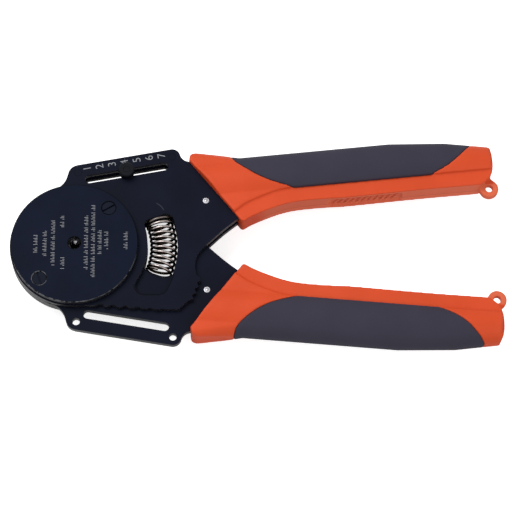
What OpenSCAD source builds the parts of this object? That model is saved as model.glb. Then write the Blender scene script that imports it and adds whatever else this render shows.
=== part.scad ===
// Four-indent crimp tool for solid contacts, lying on its rear face.
// Origin at the contact entry in the front cover, +X towards the handles, +Z out of the front.

/* [Head] */
// Diameter of the round head of the frame plates
head_d = 61.8; // [56:0.2:68]
// Diameter of the front cover disc
cover_d = 60.6; // [52:0.2:61]
// Thickness of the front cover disc
cover_t = 3; // [2:0.1:5]
// Diameter of the rear cover disc
rear_cover_d = 56; // [52:0.5:58]
// Thickness of the rear cover disc
rear_cover_t = 2.5; // [1.6:0.1:5]
// Thickness of the front and rear frame plates
plate_t = 2.5; // [1.6:0.1:4]
// Thickness of the moving plate between them
cam_plate_t = 3; // [2.6:0.1:5]
// Axial gap on each face of the moving plate
axial_gap = 0.05; // [0.03:0.01:0.2]
// Radial gap of every running fit
running_gap = 0.05; // [0.02:0.01:0.09]
// Diameter of the contact entry hole
entry_d = 6.1; // [5:0.1:7]
// Diameter of the hub that carries the indenters
carrier_d = 32; // [30:0.5:34]
// Circle on which the two cover screws sit
screw_circle_d = 48.4; // [48:0.1:50]
// Direction of the first cover screw
screw_angle = 47.7; // [44:0.1:55]
// Head diameter of a cover screw
screw_head_d = 6.4; // [6:0.1:7.6]
// Head height of a cover screw
screw_head_h = 1.6; // [1:0.1:1.8]
// Shank diameter of a cover screw
screw_d = 4; // [3:0.1:4.4]

/* [Indenters] */
// Width of an indenter
indenter_w = 4; // [3:0.1:5]
// Thickness of an indenter
indenter_t = 2.5; // [2:0.1:2.5]
// Width of an indenter's point
point_w = 0.9; // [0.5:0.05:1.2]
// Circle between the points with the handles open
open_d = 4; // [3.4:0.1:4.6]
// How far each indenter moves in over the whole stroke
indent_depth = 1; // [0.4:0.05:1.2]
// Angle that the moving handle closes through
stroke = 9; // [5:0.5:9]

/* [Flange and selector] */
// Tilt of the flange and its slot
slot_angle = 10.2; // [9:0.1:11]
// Width of the slot
slot_w = 4.2; // [3.6:0.1:4.6]
// Diameter of the holes in the flange corners
flange_hole_d = 3.6; // [3:0.1:4.4]
// Distance between two settings of the selector
setting_pitch = 6.1; // [5.8:0.05:6.1]
// Diameter of the selector knob
knob_d = 7.5; // [6:0.1:8]
// Height of the selector knob
knob_h = 4.2; // [3:0.1:6]

/* [Return spring] */
// Outer diameter of the spring
spring_d = 13.2; // [12.6:0.1:13.4]
// Diameter of the spring wire
wire_d = 1.3; // [1:0.05:1.5]
// Number of coils
coils = 11.5; // [8.5:1:12.5]
// Radius of the arc that the spring follows
spring_arc_r = 42; // [41.8:0.1:42.2]
// How far the middle of the spring bows outwards
spring_bow = 0.5; // [0:0.1:0.5]
// Gap between the spring and the sides of its window
window_gap = 0.6; // [0.6:0.1:1.2]
// Angle of the window's end face above the symmetry axis
window_turn = 20.4; // [20:0.1:21]

/* [Ratchet] */
// Radius to the tips of the teeth
tooth_tip_r = 63; // [62.4:0.1:63]
// Depth of a tooth
tooth_depth = 1.6; // [1:0.1:2]
// Diameter of the two rivets near the handles
rivet_d = 3.1; // [2.6:0.1:3.4]
// Diameter of the pawl's eye
pawl_eye_d = 7; // [6:0.1:7.2]
// Gap between the pawl's eye and the circle of the tooth tips
pawl_eye_gap = 0.4; // [0.3:0.1:0.8]

/* [Handles] */
// Greatest thickness of a handle
handle_t = 19; // [18:0.2:22]
// Thickness of the flat band along a handle's inner edge
band_t = 12.2; // [11:0.1:13.6]
// Thickness of the soft grip
grip_t = 2; // [1.5:0.1:2.2]
// Reach of the steel tangs into the handles
tang_end = 150; // [130:1:165]
// Outer diameter of the lanyard eye
eye_d = 9.2; // [8:0.2:10]
// Hole diameter of the lanyard eye
eye_hole_d = 3.6; // [3:0.1:4.4]
// Thickness of the lanyard eye
eye_t = 3.6; // [3:0.2:6]
// Depth of the bare panel in a handle's inner wall
panel_depth = 0.9; // [0.3:0.1:1.2]

/* [Locator] */
// Diameter of the boss on the rear cover
boss_d = 16; // [14:0.5:20]
// Height of the boss
boss_h = 2.6; // [2:0.1:5]
// Thread diameter of the locator screw
stem_d = 10; // [8:0.2:11]
// Height of the lock nut
nut_h = 2.6; // [2:0.1:4]
// Diameter of the lock nut
nut_d = 17; // [15:0.5:20]
// Diameter of the locator knob
dial_d = 14.6; // [13:0.2:16]
// Height of the locator knob
dial_h = 5; // [4:0.2:8]
// Diameter of the contact stop pin
stop_d = 3; // [2:0.1:4]
// How far the stop pin can be set each way
stop_travel = 2; // [1:0.25:2.5]

/* [Hidden] */
$fn = 72;

// Small allowances: overshoot of a cut, seat of a fixed round fit
cut = 1;
seat_gap = 0.02;

// Levels of the stacked plates, from the front cover's face down
front_face = -cover_t;
front_in = front_face - plate_t;
cam_top = front_in - axial_gap;
cam_low = cam_top - cam_plate_t;
mid_z = (cam_top + cam_low) / 2;
rear_in = cam_low - axial_gap;
rear_face = rear_in - plate_t;
rear_end = rear_face - rear_cover_t;

// Frame plate outline
head_r = head_d / 2;
edge_start_x = 5;
edge_drop = -0.2;
lobe_line = [[40, -33.2], [49.7, -33.1]];
corner_rise = [[51.9, -30.7], [53.4, -29.5]];
tooth_n = 4;
tooth_pitch = 3.05;
first_tip = -26.4;
recess = [[57.9, -15.4], [57.4, -11.5], [57.7, -8.1], [58.8, -5.3], [60.4, -3], [62.2, -1.1]];
fork_edge = [[62.2, -1.1], [66.1, 2.6], [71.5, 7.6], [77.6, 12.5], [86, 18.6]];
tang_inner = [[98, 25.5], [112, 28.6]];
tang_outer = [[104, 40.6], [80, 39], [62, 41]];
tang_root = [[54, 43.6], [0, 20]];
tang_slope = 0.1;
tang_w = 12;
notch_n = 6;
notch_first = [12.3, -30];
notch_slope = -0.096;
notch_drift = 0.2;
notch_pitch = setting_pitch - notch_drift;
notch_r = 2.4;
stop_ease = 0.8;
lobe_share = 0.8;

// Flange, in the slot's own frame
slot_x = 24.65;
slot_y = 37.7;
flange_top = 8.4;
flange_corner_r = 4;
flange_half = 27.15;
flange_fillet_r = 5;
flange_foot = -11.7;
left_corner = [-23.1, 3.3];
left_corner_r = 5;
left_side = [[-27.57, 5.54], [-28.6, 3.5]];
left_foot = [[-37.2, -2.3], [-41, -3.5], [-37, -9]];
left_fillet = [-37.2, 7];
left_fillet_r = 9.3;
settings = 7;
slot_spare_end = 0.1;
slot_len = setting_pitch * (settings - 1) + slot_w + 2 * slot_spare_end;

// Window for the return spring
window_in_r = spring_arc_r - spring_d / 2 - window_gap;
window_out_r = spring_arc_r + spring_d / 2 + window_gap;
window_low = -25.2;
window_corners = [2.6, 4, 4.5, 4];
corner_bite = 0.02;
spring_r = (spring_d - wire_d) / 2;
end_pitch = wire_d * 1.2;
spring_rest = 1.6;
spring_sides = 8;
spring_steps = 18;
probe = 0.001;
spring_turn = window_turn - spring_rest;

// Cam pockets and indenters
carrier_r = carrier_d / 2;
indenter_n = 4;
roller_r = 2.6;
roller_centre = carrier_r + 1;
cam_gap = 0.04;
lift_per_degree = indent_depth / stroke;
pocket_margin = 9;
side_gap = 0.03;
point_t = 1.2;
point_len = 3.4;
pocket_step = 1.5;

// Cover screws
screw_sink = 0.3;
head_gap = 0.2;
slot_cut_w = 1;
slot_cut_depth = 0.9;
screw_turns = [30, -72];
arc_slot_gap = 0.3;
slot_spare = 0.5;

// Rivet and pawl
rivet_angle = 19.7;
rivet_r = tooth_tip_r + pawl_eye_gap + pawl_eye_d / 2;
rivet_proud = 0.3;
pawl_tip_gap = 0.25;
pawl_tip_angle = 25.6;
pawl_side_gap = 0.1;
pawl_back = [[7.2, -1.4], [4, -2.8]];
leaf_t = 0.35;
leaf_w = 2.4;
leaf_foot = -1.5;
leaf_bend = -6.8;
leaf_reach = 4.6;
leaf_place = 16.5;

// Selector
pin_gap = 0.1;
waist_d = 2.4;
knob_grooves = 18;
groove_r = 0.45;
clip_d = 6.4;
clip_t = 1.4;
slide_gap = 0.1;
stud_collar_d = 6;

// Handle outlines for the upper side, mirrored for the lower one
tip_round = 1.2;
tip_centre = [80.7, 12.3];
tip_turns = [218.8, 240, 261, 282, 303];
shell_inner = [
    [84.6, 13.3], [92, 16.6], [100, 19.5], [108, 21.2], [120, 22.4], [132, 23.1], [167, 26.7], [197, 29.3]
];
shell_end = [[201.1, 32.6], [202.8, 36.3], [203.4, 41], [202.9, 46.5], [201.6, 50.2]];
shell_outer = [
    [198.8, 52.3], [179.9, 53.4], [159.7, 54.4], [135.8, 52.1], [105.9, 49.3], [80, 46.9],
    [75, 46.5], [65, 46.9], [58.8, 47.3]
];
shell_tip = [[56.9, 46.8], [55.4, 45.4], [55, 43]];
crown_front = [[71, 11.5], [77, 16.2], [82, 19.9], [87.5, 22.7], [96.3, 26.3]];
crown_start = -14.2;
handle_angle = 5.4;
band_line = [118.5, 22.3];
band_w = 7;
grip_start = -12.5;
grip_end = 55.3;
grip_front = [[75, 48], [76.6, 43], [83.1, 37.2], [92.5, 31.9], band_point(grip_start, band_w)];
grip_rear = [band_point(grip_end, band_w), [180.5, 38.6], [186, 43], [190.6, 48], [195, 52.8], [197, 55.5]];
grip_outside = 60;
crown_r = 17;
crown_v = 15;
crown_drop = crown_r - handle_t / 2;
step_t = handle_t - 4.2;
roll_v = 18.7;
roll_r = crown_r - norm([roll_v - crown_v, crown_drop]) + corner_bite;
roll_lean = atan2(roll_v - crown_v, crown_drop);
straight = [0, 0];
front_bend = [-40, -14];
rear_bends = [[36, -5], [49.5, -11]];
handle_len = 170;
eye_centre = [201.4, 29];
neck_turns = [42, 222];
neck_foot = [[195.2, 30.2], [200.6, 35.6]];
panel_x = [123, 158.5];
panel_h = 8.4;
panel_drop = 0.6;
spline_n = 4;

// Locator
dial_grooves = 24;
nut_n = 6;
face_gap = 0.1;
stem_sink = 0.8;
stem_top = rear_face - stem_sink;
boss_low = rear_end - boss_h;
nut_top = boss_low - face_gap;
nut_low = nut_top - nut_h;
dial_top = nut_low - face_gap;
dial_low = dial_top - dial_h;
stop_tip = cam_low - stop_travel;
inner_bore_d = entry_d + 0.5;

// Point at radius r and angle a
function polar(r, a) = [r * cos(a), r * sin(a)];

// Point u along the flat band of the upper handle and v across it
function band_point(u, v) = band_line + polar(u, handle_angle) + polar(v, handle_angle + 90);

// Smooth curve through a list of points
function blend_point(a, b, c, d, t) =
    0.5 * (2 * b + (c - a) * t + (2 * a - 5 * b + 4 * c - d) * t * t + (3 * b - a - 3 * c + d) * t * t * t);
function spline(p) = [
    for (i = [0 : len(p) - 2], k = [0 : spline_n - 1])
        blend_point(p[max(i - 1, 0)], p[i], p[i + 1], p[min(i + 2, len(p) - 1)], k / spline_n),
    p[len(p) - 1]
];

// Tips and valleys of the toothed edge
function teeth() = [
    for (i = [0 : tooth_n - 1], k = [0 : 1])
        polar(tooth_tip_r - (1 - k) * tooth_depth, first_tip + tooth_pitch * (i - (1 - k) / 2))
];

// Flat extrusion between two levels
module slab(low, high) {
    translate([0, 0, low]) linear_extrude(high - low) children();
}

// Places its children in the slot's own frame
module at_slot() {
    translate([slot_x, slot_y]) rotate(slot_angle) children();
}

// Rounded flange with its two concave feet, without holes
module flange_shape() {
    at_slot() {
        translate([flange_half - flange_corner_r, flange_top - flange_corner_r]) circle(flange_corner_r);
        translate([left_corner[0], flange_foot])
            square([flange_half - left_corner[0], flange_top - flange_corner_r - flange_foot]);
        translate([left_corner[0], 0])
            square([flange_half - flange_corner_r - left_corner[0], flange_top]);
        translate([flange_half, 0]) difference() {
            translate([-cut, -flange_fillet_r]) square([flange_fillet_r + cut, 2 * flange_fillet_r]);
            translate([flange_fillet_r, flange_fillet_r]) circle(flange_fillet_r);
        }
        translate(left_corner) circle(left_corner_r + corner_bite);
        difference() {
            polygon(concat([left_corner], left_side, left_foot, [[left_corner[0] + cut, flange_foot]]));
            translate(left_fillet) circle(left_fillet_r, $fn = 96);
        }
    }
}

// Sheet outline shared by all three plates; ease lowers the far end of the notched edge
module blank(ease) {
    edge = [
        [edge_start_x, -head_r - edge_drop],
        lobe_line[0] + [0, ease * lobe_share], lobe_line[1] + [0, ease]
    ];
    tang_low = tang_inner[1] + (tang_end - tang_inner[1][0]) * [1, tang_slope];
    difference() {
        union() {
            circle(head_r, $fn = 144);
            flange_shape();
            polygon(concat(
                [[0, 0], [0, -head_r]], edge, corner_rise, teeth(), spline(recess), spline(fork_edge),
                tang_inner, [tang_low, tang_low + [0, tang_w]], tang_outer, tang_root
            ));
        }
        translate(notch_first - [0, notch_r]) for (i = [0 : notch_n - 1])
            translate(i * [notch_pitch, notch_pitch * notch_slope + ease / notch_n])
                circle(notch_r, $fn = 36);
    }
}

// Curved window with four rounded corners: top inner, top outer, low inner, low outer;
// its top end is a straight line through the head's axis
module window() {
    top_in = window_corners[0];
    top_out = window_corners[1];
    low_in = window_corners[2];
    low_out = window_corners[3];
    function inner_x(c, y) = sqrt(pow(window_in_r + c - corner_bite, 2) - y * y);
    function outer_x(c, y) = sqrt(pow(window_out_r - c + corner_bite, 2) - y * y);
    function top_corner(r, c) = concat(polar(r, window_turn - asin(c / r)), c);
    corners = [
        top_corner(window_in_r + top_in - corner_bite, top_in),
        top_corner(window_out_r - top_out + corner_bite, top_out),
        [outer_x(low_out, window_low + low_out), window_low + low_out, low_out],
        [inner_x(low_in, window_low + low_in), window_low + low_in, low_in]
    ];
    function pull(c, r) = [c[0], c[1]] * r / norm([c[0], c[1]]);
    for (c = corners) translate([c[0], c[1]]) circle(c[2]);
    function centre(i) = [corners[i][0], corners[i][1]];
    function foot(i) = centre(i) + polar(corners[i][2] - corner_bite, window_turn + 90);
    polygon([foot(0), foot(1), centre(1), centre(0)]);
    polygon([
        [corners[3][0], window_low], [corners[2][0], window_low],
        [corners[2][0], corners[2][1]], [corners[3][0], corners[3][1]]
    ]);
    difference() {
        intersection() {
            circle(window_out_r, $fn = 144);
            polygon([
                pull(corners[0], 1), pull(corners[0], window_in_r + top_in),
                pull(corners[1], window_out_r - top_out), pull(corners[1], window_out_r + cut),
                [window_out_r + 2 * cut, 0],
                pull(corners[2], window_out_r + cut), pull(corners[2], window_out_r - low_out),
                pull(corners[3], window_in_r + low_in), pull(corners[3], 1)
            ]);
        }
        circle(window_in_r, $fn = 144);
    }
}

// Long slot with round ends
module slot_shape() {
    at_slot() {
        for (side = [-1, 1]) translate([side * (slot_len - slot_w) / 2, 0]) circle(slot_w / 2);
        translate([(slot_w - slot_len) / 2, -slot_w / 2]) square([slot_len - slot_w, slot_w]);
    }
}

// Round holes in the two flange corners
module flange_holes(d) {
    at_slot()
        for (side = [-1, 1])
            translate([side * (flange_half - flange_corner_r), flange_top - flange_corner_r])
                circle(d / 2, $fn = 36);
}

// One of the two outer plates of the fixed frame
module outer_plate(low, high) {
    slab(low, high) difference() {
        blank(0);
        window();
        slot_shape();
        flange_holes(flange_hole_d);
        circle(carrier_r + seat_gap, $fn = 96);
        for (k = [0, 180]) rotate(screw_angle + k) translate([screw_circle_d / 2, 0])
            circle(screw_d / 2 + seat_gap, $fn = 36);
        translate(polar(rivet_r, rivet_angle)) circle(rivet_d / 2 + seat_gap, $fn = 36);
    }
}

module front_plate() {
    color("#1c1e2a") outer_plate(front_in, front_face);
}

module rear_plate() {
    color("#1c1e2a") outer_plate(rear_face, rear_in);
}

// Disc over the front of the head, with recesses for the two screws
module front_cover() {
    color("#1d202f") difference() {
        translate([0, 0, front_face]) cylinder(d = cover_d, h = cover_t, $fn = 144);
        translate([0, 0, front_face - cut]) cylinder(d = entry_d, h = cover_t + 2 * cut, $fn = 48);
        for (k = [0, 180]) rotate(screw_angle + k) translate([screw_circle_d / 2, 0, 0]) {
            translate([0, 0, -screw_sink - screw_head_h])
                cylinder(d = screw_head_d + 2 * head_gap, h = screw_head_h + screw_sink + cut, $fn = 48);
            translate([0, 0, front_face - cut])
                cylinder(d = screw_d + 2 * seat_gap, h = cover_t + cut, $fn = 36);
        }
    }
}

// Disc over the rear of the head, with the threaded boss of the locator
module rear_cover() {
    color("#1d202f") difference() {
        union() {
            translate([0, 0, rear_end]) cylinder(d = rear_cover_d, h = rear_cover_t, $fn = 144);
            translate([0, 0, boss_low]) cylinder(d = boss_d, h = boss_h + cut, $fn = 96);
        }
        translate([0, 0, boss_low - cut])
            cylinder(d = stem_d + 2 * running_gap, h = boss_h + rear_cover_t + 2 * cut, $fn = 72);
        for (k = [0, 180]) rotate(screw_angle + k) translate([screw_circle_d / 2, 0, rear_end - cut])
            cylinder(d = screw_d + 2 * seat_gap, h = rear_cover_t + 2 * cut, $fn = 36);
    }
}

// Round hub with four guides for the indenters
module indenter_carrier() {
    color("#6d7078") difference() {
        translate([0, 0, rear_face]) cylinder(r = carrier_r, h = front_face - rear_face, $fn = 96);
        translate([0, 0, rear_face - cut])
            cylinder(d = inner_bore_d, h = front_face - rear_face + 2 * cut, $fn = 48);
        for (k = [0 : indenter_n - 1]) rotate(k * 360 / indenter_n)
            translate([0, -indenter_w / 2 - side_gap, mid_z - indenter_t / 2 - side_gap])
                cube([carrier_r + cut, indenter_w + 2 * side_gap, indenter_t + 2 * side_gap]);
    }
}

// Two slotted screws that clamp the head together
module cover_screws() {
    color("#262935") for (k = [0, 1]) rotate(screw_angle + 180 * k) translate([screw_circle_d / 2, 0, 0])
        difference() {
            union() {
                translate([0, 0, -screw_sink - screw_head_h])
                    cylinder(d = screw_head_d, h = screw_head_h, $fn = 48);
                translate([0, 0, rear_end])
                    cylinder(d = screw_d, h = -screw_sink - screw_head_h - rear_end, $fn = 36);
            }
            rotate(screw_turns[k] - screw_angle - 180 * k)
                translate([-screw_head_d, -slot_cut_w / 2, -screw_sink - slot_cut_depth])
                    cube([2 * screw_head_d, slot_cut_w, slot_cut_depth + cut]);
        }
}

// Two dark studs that hold the flanges of the outer plates apart
module flange_studs() {
    color("#14151c") {
        slab(rear_face, front_face) flange_holes(flange_hole_d - 2 * seat_gap);
        slab(rear_in, front_in) flange_holes(stud_collar_d);
    }
}

// Bright rivet through both outer plates, on which the pawl swings
module pawl_rivet() {
    color("#c9c9cf") translate(concat(polar(rivet_r, rivet_angle), rear_face - rivet_proud))
        cylinder(d = rivet_d, h = front_face - rear_face + 2 * rivet_proud, $fn = 36);
}

// Bright rivet in the moving plate
module plate_rivet() {
    color("#c9c9cf") translate(concat(polar(rivet_r, -rivet_angle), cam_low - rivet_proud))
        cylinder(d = rivet_d, h = cam_plate_t + 2 * rivet_proud, $fn = 36);
}

// Cam pocket that drives the indenter lying along +X while the plate turns
module cam_pocket() {
    turn = 180 / PI;
    reach = roller_r + cam_gap;
    function wall(a) =
        let (
            r = roller_centre + lift_per_degree * a,
            slope = lift_per_degree * turn / r,
            n = [1, -slope] / norm([1, slope])
        )
        [
            (r + reach * n[0]) * cos(a) - reach * n[1] * sin(a),
            (r + reach * n[0]) * sin(a) + reach * n[1] * cos(a)
        ];
    low = -stroke - pocket_margin;
    steps = ceil((pocket_margin - low) / pocket_step);
    polygon(concat(
        [for (i = [0 : steps]) wall(low + i * (pocket_margin - low) / steps)],
        [polar(carrier_r - cut, pocket_margin), polar(carrier_r - cut, low)]
    ));
}

// Curved slot that lets the moving plate pass a cover screw
module screw_slot() {
    w = screw_d + 2 * arc_slot_gap;
    reach = stroke + 2 * slot_spare;
    for (a = [slot_spare, slot_spare - reach]) rotate(a) translate([screw_circle_d / 2, 0])
        circle(w / 2 + corner_bite, $fn = 36);
    intersection() {
        difference() {
            circle((screw_circle_d + w) / 2, $fn = 96);
            circle((screw_circle_d - w) / 2, $fn = 96);
        }
        polygon([[0, 0], polar(screw_circle_d, slot_spare - reach), polar(screw_circle_d, slot_spare)]);
    }
}

// Moving plate: the same sheet turned over, with the cam ring in its head
module cam_plate() {
    color("#1c1e2a") slab(cam_low, cam_top) difference() {
        mirror([0, 1]) blank(stop_ease);
        mirror([0, 1]) window();
        mirror([0, 1]) slot_shape();
        mirror([0, 1]) flange_holes(flange_hole_d);
        circle(carrier_r + running_gap, $fn = 96);
        for (k = [0 : indenter_n - 1]) rotate(k * 360 / indenter_n) cam_pocket();
        for (k = [0, 180]) rotate(screw_angle + k) screw_slot();
        translate(polar(rivet_r, -rivet_angle)) circle(rivet_d / 2 + seat_gap, $fn = 36);
    }
}

// Indenter number k, drawn with the handles open
module indenter(k) {
    tip_r = open_d / 2;
    color("#d4d5da") rotate(k * 360 / indenter_n) intersection() {
        slab(mid_z - indenter_t / 2, mid_z + indenter_t / 2) {
            polygon([
                [tip_r, -point_w / 2],
                [tip_r + point_len, -indenter_w / 2],
                [roller_centre, -indenter_w / 2],
                [roller_centre, indenter_w / 2],
                [tip_r + point_len, indenter_w / 2],
                [tip_r, point_w / 2]
            ]);
            intersection() {
                translate([roller_centre, 0]) circle(roller_r, $fn = 72);
                translate([roller_centre - cut, -indenter_w / 2]) square([roller_r + 2 * cut, indenter_w]);
            }
        }
        translate([0, indenter_w, mid_z]) rotate([90, 0, 0]) linear_extrude(2 * indenter_w) polygon([
            [tip_r, -point_t / 2], [tip_r + point_len / 2, -indenter_t / 2],
            [roller_centre + 2 * roller_r, -indenter_t / 2], [roller_centre + 2 * roller_r, indenter_t / 2],
            [tip_r + point_len / 2, indenter_t / 2], [tip_r, point_t / 2]
        ]);
    }
}

// Open coil spring along the arc of the window, each coil square to the arc
module return_spring() {
    count = round(coils * spring_steps);
    end_step = end_pitch / spring_arc_r * 180 / PI;
    body_step = (2 * spring_turn - 2 * end_step) / (coils - 2);
    function turn(t) =
        t < 1 ? end_step * t - spring_turn :
        t > coils - 1 ? spring_turn - end_step * (coils - t) :
        end_step + body_step * (t - 1) - spring_turn;
    function swing(t) = 90 + 360 * t;
    function centre(t) =
        let (bow = spring_bow * cos(90 * turn(t) / spring_turn))
        concat(
            polar(spring_arc_r + bow + spring_r * cos(swing(t)), turn(t)),
            mid_z + spring_r * sin(swing(t))
        );
    function ring(i) =
        let (
            t = i / spring_steps,
            step = centre(t + probe) - centre(t - probe),
            along = step / norm(step),
            out = concat(polar(cos(swing(t)), turn(t)), sin(swing(t))),
            side = cross(along, out),
            flat = side / norm(side),
            up = cross(flat, along)
        )
        [for (k = [0 : spring_sides - 1])
            let (b = 360 * k / spring_sides)
                centre(t) + wire_d / 2 * (up * cos(b) + flat * sin(b))];
    s = spring_sides;
    color("#b9b6b2") polyhedron(
        [for (i = [0 : count]) each ring(i)],
        concat(
            [[for (k = [0 : s - 1]) s - 1 - k]],
            [for (i = [0 : count - 1], k = [0 : s - 1])
                [i * s + k, i * s + (k + 1) % s, (i + 1) * s + (k + 1) % s, (i + 1) * s + k]],
            [[for (k = [0 : s - 1]) count * s + k]]
        )
    );
}

// Pawl between the outer plates, its point just clear of a tooth tip
module ratchet_pawl() {
    pivot = polar(rivet_r, rivet_angle);
    reach = polar(tooth_tip_r + pawl_tip_gap, pawl_tip_angle) - pivot;
    shoulder = pawl_eye_d / 2 - pawl_side_gap;
    thick = cam_plate_t - 2 * pawl_side_gap;
    color("#8a8c92") translate(concat(pivot, cam_low + pawl_side_gap)) rotate(atan2(reach[1], reach[0]))
        difference() {
            union() {
                cylinder(d = pawl_eye_d, h = thick);
                linear_extrude(thick) polygon(concat(
                    [[0, shoulder], [norm(reach), 0]], pawl_back, [[0, -shoulder], [-shoulder, 0]]
                ));
            }
            translate([0, 0, -cut])
                cylinder(d = rivet_d + 2 * running_gap, h = thick + 2 * cut, $fn = 36);
        }
}

// Bent leaf between the shell's front face and the back of the pawl
module pawl_spring() {
    low = shell_tip[len(shell_tip) - 1];
    face = tip_arc()[0] - low;
    along = face / norm(face);
    inward = [along[1], -along[0]];
    foot = along * (leaf_place - low * along) + low;
    function spot(x, y) = foot + inward * (x + seat_gap) + along * y;
    color("#9a9a9e") slab(mid_z - leaf_w / 2, mid_z + leaf_w / 2) polygon([
        spot(0, leaf_foot), spot(0, leaf_bend), spot(leaf_t, leaf_bend), spot(leaf_reach, 0),
        spot(leaf_reach - leaf_t, leaf_t), spot(leaf_t, leaf_bend + 2 * leaf_t), spot(leaf_t, leaf_foot)
    ]);
}

// Rounded corner of the handle beside the fork
function tip_arc() = [for (turn = tip_turns) tip_centre + polar(tip_round, turn)];

// Outline of the upper handle
module handle_outline() {
    polygon(concat(
        tip_arc(), spline(shell_inner), spline(concat(shell_end, shell_outer, shell_tip))
    ));
}

// Part of a handle that is thicker than its flat band
module crown_region() {
    slab(mid_z - handle_t, mid_z + handle_t) polygon(concat(
        spline(concat(crown_front, [band_point(crown_start, band_w)])),
        [band_point(handle_len / 2, band_w), band_point(handle_len / 2, handle_len / 2),
        [crown_front[0][0] - handle_len / 4, handle_len / 2]]
    ));
}

// Places its children with +X along the handle's flat band and +Z across it; bend holds the place
// along the band and the angle of a bend in it
module at_band(bend) {
    translate([band_line[0], band_line[1], mid_z]) rotate(handle_angle)
        translate([bend[0], 0, 0]) rotate(bend[1]) children();
}

// One of the two round faces of the crown
module crown_face(bend, side, inset) {
    at_band(bend) translate([-handle_len, crown_v, -side * crown_drop]) rotate([0, 90, 0])
        cylinder(r = crown_r - inset, h = 2 * handle_len, $fn = 144);
}

// Everything on the inner side of a line along the handle
module inner_side(bend, v) {
    at_band(bend) translate([-handle_len, -handle_len, -handle_t])
        cube([2 * handle_len, handle_len + v, 2 * handle_t]);
}

// Everything on the inner side of a handle's rolled outer side
module inside_roll(bend, inset) {
    r = roll_r - inset;
    at_band(bend) translate([-handle_len, roll_v, 0]) rotate([0, 90, 0])
        cylinder(r = r, h = 2 * handle_len, $fn = 144);
    inner_side(bend, roll_v + r * sin(roll_lean));
}

// Body between the round faces, bent outwards at the front and inwards at the rear
module rolled_body(inset) {
    intersection() {
        union() {
            inside_roll(straight, inset);
            inside_roll(front_bend, inset);
        }
        inside_roll(rear_bends[0], inset);
        inside_roll(rear_bends[1], inset);
    }
}

// Crown of one rear stretch, which leaves the handle's inner side as it is
module rear_crown(bend, inset) {
    union() {
        intersection() {
            crown_face(bend, 1, inset);
            crown_face(bend, -1, inset);
        }
        inner_side(bend, crown_v);
    }
}

module crown_body(inset) {
    intersection() {
        crown_face(straight, 1, inset);
        crown_face(straight, -1, inset);
        rear_crown(rear_bends[0], inset);
        rear_crown(rear_bends[1], inset);
    }
}

// Solid under the soft grip
module grip_core() {
    intersection() {
        translate([0, -grip_t, 0]) slab(mid_z - handle_t, mid_z + handle_t) handle_outline();
        crown_body(grip_t);
        rolled_body(grip_t);
    }
}

// Whole handle without its tangs
module handle_mass() {
    intersection() {
        union() {
            slab(mid_z - band_t / 2, mid_z + band_t / 2) handle_outline();
            intersection() {
                slab(mid_z - handle_t, mid_z + handle_t) handle_outline();
                crown_region();
                union() {
                    crown_body(0);
                    slab(mid_z - step_t / 2, mid_z + step_t / 2) square([2 * handle_len, handle_len]);
                }
            }
        }
        rolled_body(0);
    }
}

// Region that the soft grip covers
module grip_region() {
    first = grip_front[0];
    last = grip_rear[len(grip_rear) - 1];
    slab(mid_z - handle_t, mid_z + handle_t) polygon(concat(
        spline(grip_front), spline(grip_rear), [[last[0], grip_outside], [first[0], grip_outside]]
    ));
}

// Hard shell of a handle, with its lanyard eye and the bare panel
module shell() {
    difference() {
        union() {
            handle_mass();
            slab(mid_z - eye_t / 2, mid_z + eye_t / 2) {
                translate(eye_centre) circle(eye_d / 2, $fn = 48);
                polygon(concat(
                    [for (turn = neck_turns) eye_centre + polar(eye_d / 2 - corner_bite, turn)], neck_foot
                ));
            }
        }
        difference() {
            grip_region();
            grip_core();
        }
        translate([eye_centre[0], eye_centre[1], mid_z - eye_t])
            cylinder(d = eye_hole_d, h = 2 * eye_t, $fn = 36);
        at_band(straight) translate([panel_x[0] - band_line[0], -cut, -panel_h / 2 - panel_drop])
            cube([panel_x[1] - panel_x[0], panel_depth + cut, panel_h]);
    }
}

module upper_shell() {
    color("#dd5430") difference() {
        shell();
        slab(front_in, front_face) blank(0);
        slab(rear_face, rear_in) blank(0);
    }
}

module lower_shell() {
    color("#dd5430") difference() {
        mirror([0, 1, 0]) shell();
        slab(cam_low, cam_top) mirror([0, 1]) blank(stop_ease);
    }
}

// Soft inlay on the outer side of a handle
module grip() {
    difference() {
        intersection() {
            handle_mass();
            grip_region();
        }
        grip_core();
    }
}

module upper_grip() {
    color("#3e3e4a") grip();
}

module lower_grip() {
    color("#3e3e4a") mirror([0, 1, 0]) grip();
}

// Grooves around a round knob of radius r
module grooves(n, r, depth, low, high) {
    for (k = [0 : n - 1]) rotate(k * 360 / n) translate([r + groove_r - depth, 0, low - cut])
        cylinder(r = groove_r, h = high - low + 2 * cut, $fn = 16);
}

module selector_knob() {
    low = front_face + slide_gap;
    color("#16181f") translate([slot_x, slot_y, 0]) difference() {
        translate([0, 0, low]) cylinder(d = knob_d, h = knob_h, $fn = 72);
        grooves(knob_grooves, knob_d / 2, groove_r / 2, low, low + knob_h);
        translate([0, 0, low - cut]) cylinder(d = slot_w - 2 * pin_gap, h = knob_h / 2 + cut, $fn = 36);
    }
}

// Stepped pin through both slots, thinner where the moving plate can reach it
module selector_pin() {
    d = slot_w - 2 * pin_gap;
    low = rear_face - slide_gap - clip_t;
    color("#8a8c92") translate([slot_x, slot_y, 0]) {
        translate([0, 0, front_in])
            cylinder(d = d, h = front_face + slide_gap + knob_h / 2 - front_in, $fn = 36);
        translate([0, 0, rear_in]) cylinder(d = waist_d, h = front_in - rear_in, $fn = 36);
        translate([0, 0, low]) cylinder(d = d, h = rear_in - low, $fn = 36);
    }
}

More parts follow.
